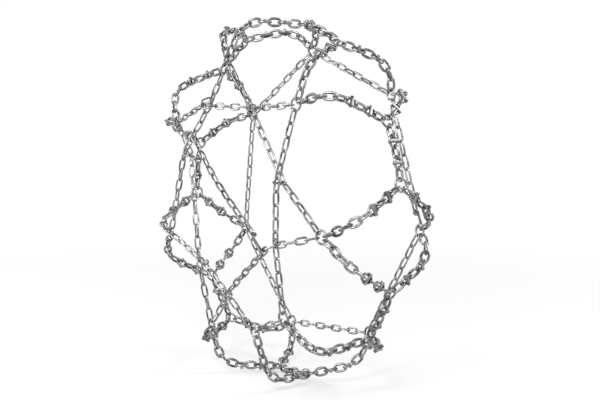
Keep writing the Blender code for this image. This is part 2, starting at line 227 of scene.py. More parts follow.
# %% tread strands
REPEATS = 7
REPEAT_ANGLE = 2 * math.pi / REPEATS
FIRST_FRONT_RING = math.radians(45.9)
RING_INNER = 0.0155
TREAD_CHAIN_LINKS = 5
SPIN_BEARING = math.sqrt((RING_INNER - GAP) ** 2 - (TREAD_LINK.wire / 2) ** 2)
TREAD_CHAIN_ANGLE = (2 * SPIN_BEARING + TREAD_CHAIN_LINKS * TREAD_LINK.pitch) / NET_RADIUS


def tread_ring(angle):
    return Ring(*net_surface(angle, NET_SHIFT))


def ring_angles(index):
    """Angles of the two tread rings of one tread chain."""
    middle = FIRST_FRONT_RING + (index + 0.5) * REPEAT_ANGLE
    return middle - TREAD_CHAIN_ANGLE / 2, middle + TREAD_CHAIN_ANGLE / 2


def tread_chain_joints(index):
    start, end = (tread_ring(angle) for angle in ring_angles(index))
    route = tread_route(*((angle, NET_SHIFT) for angle in ring_angles(index)))
    first = ring_joint(start, end.centre, SPIN_BEARING, 1)
    last = ring_joint(end, start.centre, SPIN_BEARING, -1)
    return strand_joints(route, TREAD_CHAIN_LINKS, first, last)


print(f"a tread chain spans {math.degrees(TREAD_CHAIN_ANGLE):.1f} degrees")

# %% [markdown]
# ## Strands of the arms
# From each tread ring an arm of short links runs over a shoulder to a ring on the side. An arm has a whole
# number of links, so its length is known and its end isn't. A formula for the end would be long, so it is
# found by halving: an end that makes the route too short moves out, and one too far moves back.

# %% arms
FRONT_ARM_LINKS = 9
REAR_ARM_LINKS = 7
HALVINGS = 40


def end_run(from_angle, to_angle, side, count):
    """Run at which an arm with so many links ends. side is -1 for the front and 1 for the rear."""
    wanted = SPIN_BEARING + count * TREAD_LINK.pitch + RING_INNER
    low, high = NET_SHIFT, side * (TREAD_FLAT + NET_SHOULDER * WALL_TURN + NET_RADIUS)
    for _ in range(HALVINGS):
        middle = (low + high) / 2
        if route_length(tread_route((from_angle, NET_SHIFT), (to_angle, middle))) < wanted:
            low = middle
        else:
            high = middle
    return low


def arm_joints(from_angle, to_angle, run, count):
    route = tread_route((from_angle, NET_SHIFT), (to_angle, run))
    near_tread = place_on_route(route, SPIN_BEARING)[0]
    near_end = place_on_route(route, route_length(route) - RING_INNER)[0]
    first = ring_joint(tread_ring(from_angle), near_tread, SPIN_BEARING, 1)
    last = ring_joint(Ring(*net_surface(to_angle, run)), near_end, RING_INNER, -1)
    return strand_joints(route, count, first, last)


print("links in a front arm:", FRONT_ARM_LINKS, "and in a rear arm:", REAR_ARM_LINKS)

# %% [markdown]
# ## Rings at the ends of the arms
# Two arms meet at a ring, one from the tread chain before and one from the tread chain after. At the
# closing place they end at rings of their own, which a hook joins, so that the net can be opened.

# %% rings at the ends of the arms
CLOSING_PLACE = 2
CLOSING_ANGLES = (math.radians(140.2), math.radians(163.5))


def end_rings(side, count, closing_place=None):
    """For each place, its two (ring, arm) pairs, which share one ring except at the closing place."""
    places = []
    for index in range(REPEATS):
        starts = ring_angles(index - 1)[1], ring_angles(index)[0]
        middle = FIRST_FRONT_RING + index * REPEAT_ANGLE
        ends = CLOSING_ANGLES if index == closing_place else (middle, middle)
        pairs = []
        for start, end in zip(starts, ends):
            run = end_run(start, end, side, count)
            pairs.append((Ring(*net_surface(end, run)), arm_joints(start, end, run, count)))
        places.append(pairs)
    return places


front_places = end_rings(-1, FRONT_ARM_LINKS, CLOSING_PLACE)
rear_places = end_rings(1, REAR_ARM_LINKS)
print("front rings:", [round(pairs[0][0].centre.y, 3) for pairs in front_places])

# %% [markdown]
# ## Strands of the star and the rear side
# On the front, chains of long links run from each ring to the next but one and cross on the way, which
# makes the star. A crossing is given as its angle in degrees, its radius and its distance from the middle
# plane. One strand passes in front there and the other behind, so two bends in a route are enough. On the
# rear side, the chains run straight from ring to ring.

# %% star and side strands
STAR_CROSSINGS = (
    (73, 0.281, -0.190),
    (113, 0.262, -0.200),
    (187, 0.275, -0.180),
    (220, 0.288, -0.178),
    (297, 0.315, -0.176),
    (332, 0.338, -0.176),
    (22, 0.316, -0.176),
)
STAR_SPACING = 0.026


def star_point(index, level):
    """Where a star chain crosses its neighbour: level -1 passes in front, level 1 behind."""
    angle, radius, y = STAR_CROSSINGS[index % REPEATS]
    return round_point(math.radians(angle), radius, y + level * STAR_SPACING / 2)


def long_joints(start, end, bends=()):
    """Joints of a chain of long links from ring to ring."""
    points = [start.centre, *bends, end.centre]
    route = free_route(points, (start.out, end.out))
    first = ring_joint(start, points[1], RING_INNER - GAP, 1)
    last = ring_joint(end, points[-2], RING_INNER - GAP, -1)
    count = odd_count(route_length(route) - 2 * RING_INNER, LONG_LINK.pitch)
    return strand_joints(route, count, first, last)


star_strands = []
for index in range(REPEATS):
    start = front_places[index][1][0]
    end = front_places[(index + 2) % REPEATS][0][0]
    star_strands.append(long_joints(start, end, (star_point(index, -1), star_point(index + 1, 1))))
rear_rings = [pairs[0][0] for pairs in rear_places]
side_strands = [long_joints(rear_rings[i], rear_rings[(i + 1) % REPEATS]) for i in range(REPEATS)]
print("links in the star chains:", [len(joints) - 1 for joints in star_strands])

# %% [markdown]
# ## Wire
# Links, rings and star hooks are all bent from round wire. A curve with a bevel would be the usual way, but
# hundreds of such curves are slow. Here a square loop of edges is spun and extruded along the bends, and a
# Subdivision Surface rounds it. Subdivision draws a shape in, so the loop starts larger by known shares.

# %% wire helpers
SECTION_SIDES = 4
SECTION_SHRINK = 0.657


def section_radius(wire):
    return wire / 2 / SECTION_SHRINK


def wire_section(maker, wire, turn_axis, place):
    """Square loop for a wire's section, turned a quarter about an axis and moved to a place."""
    verts = bmesh.ops.create_circle(maker, segments=SECTION_SIDES, radius=section_radius(wire))["verts"]
    quarter = Matrix.Rotation(math.pi / 2, 3, turn_axis)
    bmesh.ops.rotate(maker, verts=verts, cent=(0, 0, 0), matrix=quarter)
    bmesh.ops.translate(maker, verts=verts, vec=place)
    return list(maker.edges), verts


def last_loop(result):
    """Edges and vertices of the last loop that an operator made."""
    items = result.get("geom_last") or result["geom"]
    verts = [item for item in items if isinstance(item, bmesh.types.BMVert)]
    edges = [item for item in items if isinstance(item, bmesh.types.BMEdge)]
    return [edge for edge in edges if set(edge.verts) <= set(verts)], verts


print("tread wire before rounding:", round(section_radius(TREAD_LINK.wire), 4), "m in radius")

# %% [markdown]
# ## Bending wire
# An open end grows straight on by an extrusion of its edges, and round a bend by a spin. Both give back
# the new end, so that steps can follow each other as they do on a bending bench.

# %% bending helpers
END_STEPS = 4


def grow_end(maker, edges, vec, scale=1.0):
    """Extrudes an open end by a way, and scales its new loop about its middle."""
    edges, verts = last_loop(bmesh.ops.extrude_edge_only(maker, edges=edges))
    bmesh.ops.translate(maker, verts=verts, vec=vec)
    middle = sum((vert.co for vert in verts), Vector()) / len(verts)
    bmesh.ops.scale(maker, vec=(scale,) * 3, space=Matrix.Translation(-middle), verts=verts)
    return edges, verts


def half_turn(maker, edges, verts, x):
    """Spins an open end half round a point on the X axis."""
    result = bmesh.ops.spin(
        maker, geom=verts + edges, cent=(x, 0, 0), axis=(0, 0, -1),
        angle=math.pi, steps=END_STEPS, use_duplicate=False,
    )
    return last_loop(result)


def as_mesh(maker, name):
    mesh = bpy.data.meshes.new(name)
    maker.to_mesh(mesh)
    maker.free()
    return mesh


print("steps in a half turn:", END_STEPS)

# %% [markdown]
# ## One round link
# A real link is a length of wire, bent to an oval and butt-welded. It is made once and copied, and it has
# only a few dozen faces, because there are hundreds of copies. The weld stays as a slight swelling in the
# middle of one long side. A float attribute is above zero inside the ends, where the next link wears the
# metal bright, and below zero along the inner sides, where it darkens the colour as painted shade.

# %% link prototypes
SIDE_SHRINK = 0.951
CROWN_SHRINK = 0.902
WELD_SWELL = 1.16
WORN_RUB = 1.0
# painted shade: the links' inner sides are darkened in colour, standing in for the shade between links
INNER_SIDE_PAINTED_SHADE = -0.7


def oval(kind):
    """Half the width of a link's middle line, and half of its straight length."""
    wide = (kind.inner_half + kind.wire / 2) / SIDE_SHRINK
    return wide, (kind.pitch + kind.wire) / 2 - CROWN_SHRINK * wide


def mark_rub(maker, kind):
    """Marks the inside of a link: worn bright in its ends, painted shade along its sides."""
    wide, straight = oval(kind)
    rub = maker.verts.layers.float.new("rub")
    for vert in maker.verts:
        past_side = max(0, abs(vert.co.x) - straight)
        if math.hypot(past_side, vert.co.y) < wide - section_radius(kind.wire) / 2:
            # inside the ends this is real wear, and along the inner sides it is painted shade
            vert[rub] = WORN_RUB if past_side else INNER_SIDE_PAINTED_SHADE


def link_prototype(kind):
    """Oval link round the origin: long along X, wide along Y."""
    wide, straight = oval(kind)
    maker = bmesh.new()
    first_edges, verts = wire_section(maker, kind.wire, "Y", (straight, wide, 0))
    edges, _ = half_turn(maker, first_edges, verts, straight)
    edges, _ = grow_end(maker, edges, (-straight, 0, 0), WELD_SWELL)
    edges, verts = grow_end(maker, edges, (-straight, 0, 0), 1 / WELD_SWELL)
    edges, _ = half_turn(maker, edges, verts, -straight)
    bmesh.ops.bridge_loops(maker, edges=first_edges + edges)
    bmesh.ops.recalc_face_normals(maker, faces=maker.faces)
    mark_rub(maker, kind)
    return as_mesh(maker, "link")


link_meshes = {kind: link_prototype(kind) for kind in (TREAD_LINK, LONG_LINK)}
print("faces of one link:", len(link_meshes[TREAD_LINK].polygons))

# %% [markdown]
# ## Setting links down
# Links in a chain stand upright and lie flat by turns, a quarter turn apart. An Array modifier could repeat
# a link along a curve, but every link would look the same. Here each one sits a few degrees off, because
# nothing holds it square, and its zinc is a little lighter or darker than its neighbour's. The draws are
# seeded, so every run gives the same chain.

# %% links along a strand
ROLL_LIMIT = math.radians(5)
STRETCH_HALF = 0.004
SEED = 11
draw = random.Random(SEED)


def middle_joint(start, end):
    return make_joint((start.point + end.point) / 2, end.point - start.point, start.out + end.out)


def link_matrix(start, end, flat, roll=0.0):
    """Places a link between two joints: X along the strand, Y the wide way."""
    middle = middle_joint(start, end)
    wide = -middle.across if flat else middle.out
    thick = middle.out if flat else middle.across
    turned = Matrix((middle.along, wide, thick)).transposed().to_4x4()
    return Matrix.Translation(middle.point) @ turned @ Matrix.Rotation(roll, 4, "X")


def append_mesh(maker, mesh, matrix, stretch=0.0, shade=0.5, twist=0.0):
    """Copies a prototype into a bmesh, in its own shade, with a stretch in metres and a twist per metre."""
    count = len(maker.verts)
    maker.from_mesh(mesh)
    layers = maker.verts.layers.float
    shades = layers.get("shade") or layers.new("shade")
    maker.verts.ensure_lookup_table()
    new_verts = maker.verts[count:]
    for vert in new_verts:
        vert.co.x += stretch / 2 * max(-1, min(1, vert.co.x / STRETCH_HALF))
        vert.co = Matrix.Rotation(twist * vert.co.x, 3, "X") @ vert.co
        vert[shades] = shade
    bmesh.ops.transform(maker, matrix=matrix, verts=new_verts)


def add_links(maker, joints, kind):
    for index, (start, end) in enumerate(zip(joints, joints[1:])):
        stretch = (end.point - start.point).length - kind.pitch
        roll = draw.uniform(-ROLL_LIMIT, ROLL_LIMIT)
        matrix = link_matrix(start, end, index % 2 == 1, roll)
        append_mesh(maker, link_meshes[kind], matrix, stretch, draw.random())


print("a link may roll up to", round(math.degrees(ROLL_LIMIT)), "degrees")

# %% [markdown]
# ## Rings
# A ring is a plain hoop of round wire, welded shut. A torus would do as well, but the links' own square
# section, spun once round the ring's middle, gives a wire that looks like theirs.

# %% ring prototype
RING_WIRE = 0.007
RING_STEPS = 12
RING_SHRINK = 0.955


def hoop_prototype():
    """Hoop round the origin, flat in the XY plane."""
    maker = bmesh.new()
    middle = (RING_INNER + RING_WIRE / 2) / RING_SHRINK
    edges, verts = wire_section(maker, RING_WIRE, "X", (middle, 0, 0))
    bmesh.ops.spin(
        maker, geom=verts + edges, cent=(0, 0, 0), axis=(0, 0, 1),
        angle=2 * math.pi, steps=RING_STEPS, use_merge=True, use_duplicate=False,
    )
    bmesh.ops.recalc_face_normals(maker, faces=maker.faces)
    return as_mesh(maker, "hoop")


def append_ring(maker, ring):
    """Sets a hoop down flat on the surface that the ring lies on."""
    turned = ring.out.to_track_quat("Z", "X").to_matrix().to_4x4()
    append_mesh(maker, hoop_mesh, Matrix.Translation(ring.centre) @ turned, shade=draw.random())


hoop_mesh = hoop_prototype()
print("faces of one ring:", len(hoop_mesh.polygons))

# %% [markdown]
# ## Wear studs
# The lying links nearest to a tread ring carry a stud: a hard steel bar, bent over the link like a staple
# and welded on. It bites into ice and takes the wear. A profile could be drawn and extruded, but the bar
# is quicker from a cube: it is cut near its ends, the ends grow legs, and a bevel breaks the edges.

# %% stud prototype
STUD_LENGTH = 0.009
STUD_RISE = 0.0042
STUD_LEG_WALL = 0.003
STUD_LEG_END = -0.0030
STUD_SINK = 0.0006
STUD_BEVEL = 0.0011
STUD_BEVEL_SEGMENTS = 2
FACING_DOWN = -0.9
EDGE_TURN = 0.5


def grow_legs(maker, leg, low):
    """Extrudes the underside down where it lies outside the link."""
    under = [f for f in maker.faces if f.normal.z < FACING_DOWN and abs(f.calc_center_median().y) > leg]
    grown = bmesh.ops.extrude_face_region(maker, geom=under)["geom"]
    verts = [item for item in grown if isinstance(item, bmesh.types.BMVert)]
    bmesh.ops.translate(maker, verts=verts, vec=(0, 0, STUD_LEG_END - low))
    bmesh.ops.delete(maker, geom=under, context="FACES_ONLY")
    bmesh.ops.recalc_face_normals(maker, faces=maker.faces)


def stud_prototype():
    """Staple across a tread link: X along the strand, Y over the link, Z out from the net."""
    maker = bmesh.new()
    leg = TREAD_LINK.inner_half + TREAD_LINK.wire
    low = TREAD_LINK.wire / 2 - STUD_SINK
    height = STUD_RISE + STUD_SINK
    bmesh.ops.create_cube(maker, size=1)
    bmesh.ops.scale(maker, vec=(STUD_LENGTH, 2 * (leg + STUD_LEG_WALL), height), verts=maker.verts)
    bmesh.ops.translate(maker, verts=maker.verts, vec=(0, 0, low + height / 2))
    for side in (1, -1):
        geometry = list(maker.verts) + list(maker.edges) + list(maker.faces)
        bmesh.ops.bisect_plane(maker, geom=geometry, plane_co=(0, side * leg, 0), plane_no=(0, 1, 0))
    grow_legs(maker, leg, low)
    sharp = [e for e in maker.edges if len(e.link_faces) == 2 and e.calc_face_angle() > EDGE_TURN]
    bmesh.ops.bevel(
        maker, geom=sharp, offset=STUD_BEVEL, offset_type="OFFSET", affect="EDGES",
        segments=STUD_BEVEL_SEGMENTS, profile=0.5, material=-1, clamp_overlap=True,
    )
    return as_mesh(maker, "stud")


stud_mesh = stud_prototype()
print("faces of one stud:", len(stud_mesh.polygons))

# %% [markdown]
# ## Shader arithmetic
# A material is easier to read as a formula than as a list of links. This class holds a socket, and each
# operator on it adds one Math node. Any other node comes from its method node.

# %% socket class


class Socket:
    """An output of a node that takes part in arithmetic."""

    def __init__(self, tree, socket):
        self.tree = tree
        self.socket = socket

    def node(self, kind, settings=None, values=None, output=0):
        made = self.tree.nodes.new("ShaderNode" + kind)
        for key, value in (settings or {}).items():
            setattr(made, key, value)
        for key, value in (values or {}).items():
            if isinstance(value, Socket):
                self.tree.links.new(value.socket, made.inputs[key])
            else:
                made.inputs[key].default_value = value
        return Socket(self.tree, made.outputs[output])

    def math(self, operation, first, second):
        return self.node("Math", {"operation": operation}, {0: first, 1: second})

    def __add__(self, other):
        return self.math("ADD", self, other)

    __radd__ = __add__

    def __sub__(self, other):
        return self.math("SUBTRACT", self, other)

    def __rsub__(self, other):
        return self.math("SUBTRACT", other, self)

    def __mul__(self, other):
        return self.math("MULTIPLY", self, other)

    __rmul__ = __mul__

    def clamped(self):
        return self.node("Clamp", None, {"Value": self})

    def between(self, low, high):
        """Runs from 0 to 1 as this value goes from low to high."""
        return self.node("MapRange", None, {"Value": self, "From Min": low, "From Max": high})

    def mix(self, first, second):
        """Colour between two colours, with this value as the share of the second."""
        return self.node("Mix", {"data_type": "RGBA"}, {0: self, 6: first, 7: second}, 2)

    def noise(self, scale, detail):
        """Noise over these coordinates."""
        return self.node("TexNoise", None, {"Vector": self, "Scale": scale, "Detail": detail})

    def attribute(self, name):
        return self.node("Attribute", {"attribute_name": name}, None, "Fac")


print("methods of a socket:", [name for name in vars(Socket) if not name.startswith("_")])

# %% [markdown]
# ## Starting a material
# Every material starts from a Principled shader and from Object coordinates. Those are in metres and don't
# stretch with a piece, so a grain has the same size on every link.

# %% material helpers


def start_material(name):
    """New material with its shader node and its Object coordinates."""
    material = bpy.data.materials.new(name)
    material.use_nodes = True
    tree = material.node_tree
    shader = tree.nodes["Principled BSDF"]
    coordinates = tree.nodes.new("ShaderNodeTexCoord")
    return material, shader, Socket(tree, coordinates.outputs["Object"])


def connect(value, node, name):
    value.tree.links.new(value.socket, node.inputs[name])


print("materials before the first steel:", len(bpy.data.materials))

# %% [markdown]
# ## Zinc-bright steel
# The chain is hardened steel with a thin zinc coat: silver, with cloudy grey patches, a fine grain, and
# bright spots where links wear each other. One flat grey would look like plastic. A broad noise gives the
# clouds, a fine one the grain, a drawn-out one the scratches, and two attributes tell links apart and mark
# their insides: worn bright in the ends, and darker along the sides, which is painted shade.

# %% steel
CLOUD_SCALE = 60
CLOUD_DETAIL = 3.0
CLOUD_FROM = 0.35
CLOUD_TO = 0.65
GRAIN_SCALE = 900
GRAIN_DETAIL = 2.0
SCRATCH_SCALE = 260
SCRATCH_DETAIL = 4.0
SCRATCH_DRAWN = (1.0, 1.0, 0.15)
CLOUD_TONE = 0.4
LINK_TONE = 0.35
GRAIN_TONE = 0.2
# weight of the worn bright ends and of the painted shade on the links' inner sides
WEAR_AND_SHADE_TONE = 0.5
CLOUD_ROUGHNESS = 0.16
GRAIN_ROUGHNESS = 0.1
RUB_POLISH = 0.14
GRAIN_RELIEF = 0.7
SCRATCH_RELIEF = 0.5
BUMP_STRENGTH = 0.35
BUMP_DEPTH = 0.00025


def chain_steel(name, dull, bright, roughness):
    """Steel between a dull and a bright grey, with rubbed ends, painted shade inside the sides, and a fine
    grain.
    """
    material, shader, place = start_material(name)
    clouds = place.noise(CLOUD_SCALE, CLOUD_DETAIL).between(CLOUD_FROM, CLOUD_TO)
    grain = place.noise(GRAIN_SCALE, GRAIN_DETAIL)
    drawn = place.node("Mapping", None, {"Vector": place, "Scale": SCRATCH_DRAWN})
    scratch = drawn.noise(SCRATCH_SCALE, SCRATCH_DETAIL)
    shade = place.attribute("shade")
    rub = place.attribute("rub")
    # where the last term is below zero, it darkens the inner sides of the links: painted shade
    tone = CLOUD_TONE * clouds + LINK_TONE * shade + GRAIN_TONE * grain + WEAR_AND_SHADE_TONE * rub
    connect(tone.clamped().mix((*dull, 1), (*bright, 1)), shader, "Base Color")
    rough = roughness + CLOUD_ROUGHNESS * clouds + GRAIN_ROUGHNESS * grain - RUB_POLISH * rub
    connect(rough.clamped(), shader, "Roughness")
    height = GRAIN_RELIEF * grain + SCRATCH_RELIEF * scratch
    relief = {"Strength": BUMP_STRENGTH, "Distance": BUMP_DEPTH, "Height": height}
    connect(place.node("Bump", None, relief), shader, "Normal")
    shader.inputs["Metallic"].default_value = 1
    return material


tread_steel = chain_steel("tread_link_zinc", (0.030, 0.031, 0.032), (0.48, 0.485, 0.49), 0.16)
long_steel = chain_steel("long_link_zinc", (0.038, 0.039, 0.040), (0.54, 0.545, 0.55), 0.14)
ring_steel = chain_steel("ring_zinc", (0.034, 0.035, 0.036), (0.50, 0.505, 0.51), 0.15)
stud_steel = chain_steel("stud_hard_steel", (0.026, 0.026, 0.027), (0.40, 0.40, 0.405), 0.20)
hook_steel = chain_steel("hook_forged_zinc", (0.034, 0.035, 0.036), (0.46, 0.465, 0.47), 0.19)
print("steels:", [m.name for m in (tread_steel, long_steel, ring_steel, stud_steel, hook_steel)])

# %% [markdown]
# ## Pieces of the net
# Each solid gets one piece of round links, which replaces it and rides on the same body. One object for
# each link would be truer to the chain, but the links of a strand move as one, so they share a mesh. Studs
# are pieces of their own, because they are another steel and keep their edges.

# %% piece helpers
SMOOTH_LEVELS = 2
STUDDED_LINKS = (1, 3)
STUD_SHARP_ANGLE = math.radians(50)


def add_piece(name, maker, material, body, replaced=(), levels=SMOOTH_LEVELS):
    mesh = as_mesh(maker, name)
    mesh.shade_smooth()
    mesh.materials.append(material)
    piece = bpy.data.objects.new(name, mesh)
    bpy.context.scene.collection.objects.link(piece)
    if levels:
        rounded = piece.modifiers.new("rounded", "SUBSURF")
        rounded.levels = levels
        rounded.render_levels = levels
    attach(piece, body)
    if replaced:
        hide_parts(*replaced)
    return piece


def add_strand_piece(node, joints, kind, material, body="net"):
    maker = bmesh.new()
    add_links(maker, joints, kind)
    add_piece(node + "_links", maker, material, body, [node])


def add_stud_piece(node, strands):
    """Studs on the second and the fourth link of each strand."""
    maker = bmesh.new()
    for joints in strands:
        for index in STUDDED_LINKS:
            matrix = link_matrix(joints[index], joints[index + 1], True)
            append_mesh(maker, stud_mesh, matrix, shade=draw.random())
    piece = add_piece(node + "_studs", maker, stud_steel, "net", levels=0)
    piece.data.set_sharp_from_angle(angle=STUD_SHARP_ANGLE)


print("studs on a strand:", len(STUDDED_LINKS))

# %% [markdown]
# ## Tread chains and tread rings
# The tread chains run on the road, so they are of the thick, short links and carry studs. Their rings are
# bodies of their own in the frame, since each one turns.

# %% tread chains and tread rings
for index in range(REPEATS):
    node = f"tread_chain_{index + 1}"
    joints = tread_chain_joints(index)
    add_strand_piece(node, joints, TREAD_LINK, tread_steel)
    add_stud_piece(node, [joints])
    for letter, angle in zip("ab", ring_angles(index)):
        ring_node = f"tread_ring_{index + 1}{letter}"
        maker = bmesh.new()
        append_ring(maker, tread_ring(angle))
        add_piece(ring_node + "_hoop", maker, ring_steel, ring_node, [ring_node])
print("tread chains:", REPEATS)

# %% [markdown]
# ## Cross chains
# A cross chain is two arms and the ring on the side that joins them. The three are one solid, so they are
# one piece here too. At the closing place each arm has its ring to itself, and the net opens between them.

# %% cross chains


def add_cross_piece(node, ring, arms):
    maker = bmesh.new()
    for joints in arms:
        add_links(maker, joints, TREAD_LINK)
    append_ring(maker, ring)
    add_piece(node + "_links", maker, tread_steel, "net", [node])
    add_stud_piece(node, arms)


for index, pairs in enumerate(front_places):
    if index == CLOSING_PLACE:
        for letter, (ring, arm) in zip("ab", pairs):
            add_cross_piece(f"front_closing_arm_{letter}", ring, [arm])
    else:
        add_cross_piece(f"front_cross_chain_{index + 1}", pairs[0][0], [arm for _, arm in pairs])
for index, pairs in enumerate(rear_places):
    add_cross_piece(f"rear_cross_chain_{index + 1}", pairs[0][0], [arm for _, arm in pairs])
print("cross chains:", len(front_places) + len(rear_places))

# %% [markdown]
# ## Star chains
# The star keeps the front rings pulled towards the middle. It doesn't touch the road, so its links are
# long and thin and have no studs.

# %% star chains
for index, joints in enumerate(star_strands):
    add_strand_piece(f"star_chain_{index + 1}", joints, LONG_LINK, long_steel)
print("star chains:", len(star_strands))

# %% [markdown]
# ## Star hooks
# Where two star chains cross, a small open hook of bent wire ties them together. A closed link would look
# much the same from afar, but it couldn't be hung in by hand. So the hook is made as a link is, except
# that one long side stays open at a mouth, and its tip ends in a knob that keeps it from slipping out.

# %% star hook prototype
STAR_HOOK = LinkKind(pitch=0.030, wire=0.0058, inner_half=0.0062)
STAR_HOOK_MOUTH = 0.005
KNOB_SWELL = 1.45
KNOB_LENGTH = 0.0045


def star_hook_prototype():
    """Open hook of bent wire, long along X, with its mouth on the +Y side."""
    wide, straight = oval(STAR_HOOK)
    maker = bmesh.new()
    butt_edges, _ = wire_section(maker, STAR_HOOK.wire, "Y", (STAR_HOOK_MOUTH / 2, wide, 0))
    edges, verts = grow_end(maker, butt_edges, (straight - STAR_HOOK_MOUTH / 2, 0, 0))
    edges, _ = half_turn(maker, edges, verts, straight)
    edges, verts = grow_end(maker, edges, (-2 * straight, 0, 0))
    edges, _ = half_turn(maker, edges, verts, -straight)
    edges, _ = grow_end(maker, edges, (KNOB_LENGTH / 2, 0, 0), KNOB_SWELL)
    edges, _ = grow_end(maker, edges, (KNOB_LENGTH / 2, 0, 0))
    for loop in (butt_edges, edges):
        bmesh.ops.contextual_create(maker, geom=loop)
    bmesh.ops.recalc_face_normals(maker, faces=maker.faces)
    return as_mesh(maker, "star_hook")


star_hook_mesh = star_hook_prototype()
print("faces of one star hook:", len(star_hook_mesh.polygons))

# %% [markdown]
# ## Seats of the star hooks
# Each hook goes round the side of one link in front and one behind. Links lie in any place along a strand,
# so the two sides that are most in line are looked for, and the hook is stretched and twisted to suit.

# %% star hooks
STAR_HOOK_SLIDE = 0.009


def lying_links(joints):
    """Middles of a strand's lying links."""
    return [middle_joint(*pair) for pair in list(zip(joints, joints[1:]))[1::2]]


def hook_seats(joints, crossing, sense):
    """Seats on a strand's lying links, as (point, way across). sense is -1 in front and 1 behind."""
    seats = []
    aside = LONG_LINK.inner_half + LONG_LINK.wire / 2
    for middle in lying_links(joints):
        slide = (crossing - middle.point).dot(middle.along)
        slide = max(-STAR_HOOK_SLIDE, min(STAR_HOOK_SLIDE, slide))
        point = middle.point + slide * middle.along - sense * LONG_LINK.wire / 2 * middle.out
        seats += [(point + side * aside * middle.across, middle.across) for side in (1, -1)]
    return seats


def out_of_line(pair):
    """How far two seats are apart, as seen along the net's axis."""
    way = pair[1][0] - pair[0][0]
    return math.hypot(way.x, way.z)


def append_star_hook(maker, index):
    in_front = hook_seats(star_strands[index], star_point(index, -1), -1)
    behind = hook_seats(star_strands[index - 1], star_point(index, 1), 1)
    (front_seat, front_across), (back_seat, back_across) = min(
        ((a, b) for a in in_front for b in behind), key=out_of_line
    )
    if front_across.dot(back_across) < 0:
        back_across = -back_across
    way = back_seat - front_seat
    start, end = make_joint(front_seat, way, front_across), make_joint(back_seat, way, back_across)
    turn = math.atan2(start.along.dot(start.out.cross(end.out)), start.out.dot(end.out))
    stretch = way.length - STAR_HOOK.pitch
    matrix = link_matrix(start, end, False)
    append_mesh(maker, star_hook_mesh, matrix, stretch, draw.random(), turn / way.length)
    print("star hook", index + 1, "length", round(way.length, 4), "twist", round(math.degrees(turn)))


maker = bmesh.new()
for index in range(REPEATS):
    append_star_hook(maker, index)
add_piece("star_hooks", maker, hook_steel, "net")

# %% [markdown]
# ## Outline of a hook
# A hook is drop-forged: a flat shank with an eye round the last link's end, and a nose that drops over a
# bar. Its side view is drawn from a few rounds, each as an arc. The inset draws the outline in and the
# eye out by the same amount, which the soft edges will need.

# %% hook outline
HOOK_WALL = 0.005
HOOK_TIP = 0.006
HOOK_CLEARANCE = 0.0006
HOOK_OVER_BAR = 0.001
HOOK_FILLET = 0.004
BACK_FROM = 100
ARC_STEP = 15
THROAT_STEP = 30
END_DEPTH_SHARE = 0.85


def arc(x, z, radius, start, end, step=ARC_STEP):
    """Points on a round, from one angle to another, in degrees from the +X side."""
    count = max(1, round(abs(end - start) / step))
    turns = [math.radians(start + (end - start) * i / count) for i in range(count + 1)]
    return [(x + radius * math.cos(turn), z + radius * math.sin(turn)) for turn in turns]


def hook_outline(reach, bar_half, half_thickness, slant, inset):
    """Outer loop and eye of a hook, as (along, out) points from the last bearing face."""
    eye_x = END_DEPTH_SHARE * LONG_LINK.wire / 2
    eye_radius = math.hypot(eye_x, LONG_LINK.wire / 2) + GAP
    outer_radius = eye_radius + HOOK_WALL
    under = bar_half + HOOK_OVER_BAR
    tip_x = reach + HOOK_CLEARANCE + half_thickness * math.tan(slant)
    throat_radius = HOOK_OVER_BAR + inset
    throat = arc(tip_x - HOOK_OVER_BAR, under - HOOK_OVER_BAR, throat_radius, 90, 0, THROAT_STEP)
    nose = arc(tip_x + HOOK_TIP / 2, -bar_half, HOOK_TIP / 2 - inset, 180, 360)
    shoulder = arc(tip_x, under, HOOK_TIP - inset, 0, 90)
    fillet_z = under - HOOK_FILLET
    fillet_x = math.sqrt((outer_radius + HOOK_FILLET) ** 2 - fillet_z ** 2)
    meeting = math.degrees(math.atan2(fillet_z, fillet_x))
    back = arc(eye_x, 0, outer_radius - inset, BACK_FROM, 360 + meeting)
    heel = arc(eye_x + fillet_x, fillet_z, HOOK_FILLET + inset, 180 + meeting, 90)[1:]
    eye = arc(eye_x, 0, eye_radius + inset, ARC_STEP / 2, 360 - ARC_STEP / 2)
    return throat + nose + shoulder + back + heel, eye


print("a hook's eye has a wall of", HOOK_WALL, "m")

# %% [markdown]
# ## Forging a hook
# A forging has soft edges, because hot steel doesn't fill the sharp corners of a die. A bevel would be held
# back by the small corners of the outline, so the soft edge is built in: loops of the outline and the eye
# are drawn at several levels, further in towards the flat sides. They are bridged from level to level, and
# a fill between the two end loops closes each side.

# %% hook forging
HOOK_HALF_THICKNESS = 0.0038
HOOK_ROUND = 0.0014
HOOK_ROUND_TURNS = (0, 30, 60, 90)


def add_loop(maker, joint, points, level):
    """Closed loop of edges in the plane of a hook, at a level across it."""
    origin = joint.point + level * joint.across
    verts = [maker.verts.new(origin + x * joint.along + z * joint.out) for x, z in points]
    return [maker.edges.new(pair) for pair in zip(verts, verts[1:] + verts[:1])]


def hook_levels(half_thickness):
    """Levels across a hook, from side to side, each with its inset."""
    turns = [math.radians(turn) for turn in HOOK_ROUND_TURNS]
    rises = [half_thickness - HOOK_ROUND * (1 - math.sin(turn)) for turn in turns]
    insets = [HOOK_ROUND * (1 - math.cos(turn)) for turn in turns]
    upper = list(zip(rises, insets))
    return [(-rise, inset) for rise, inset in reversed(upper)] + upper


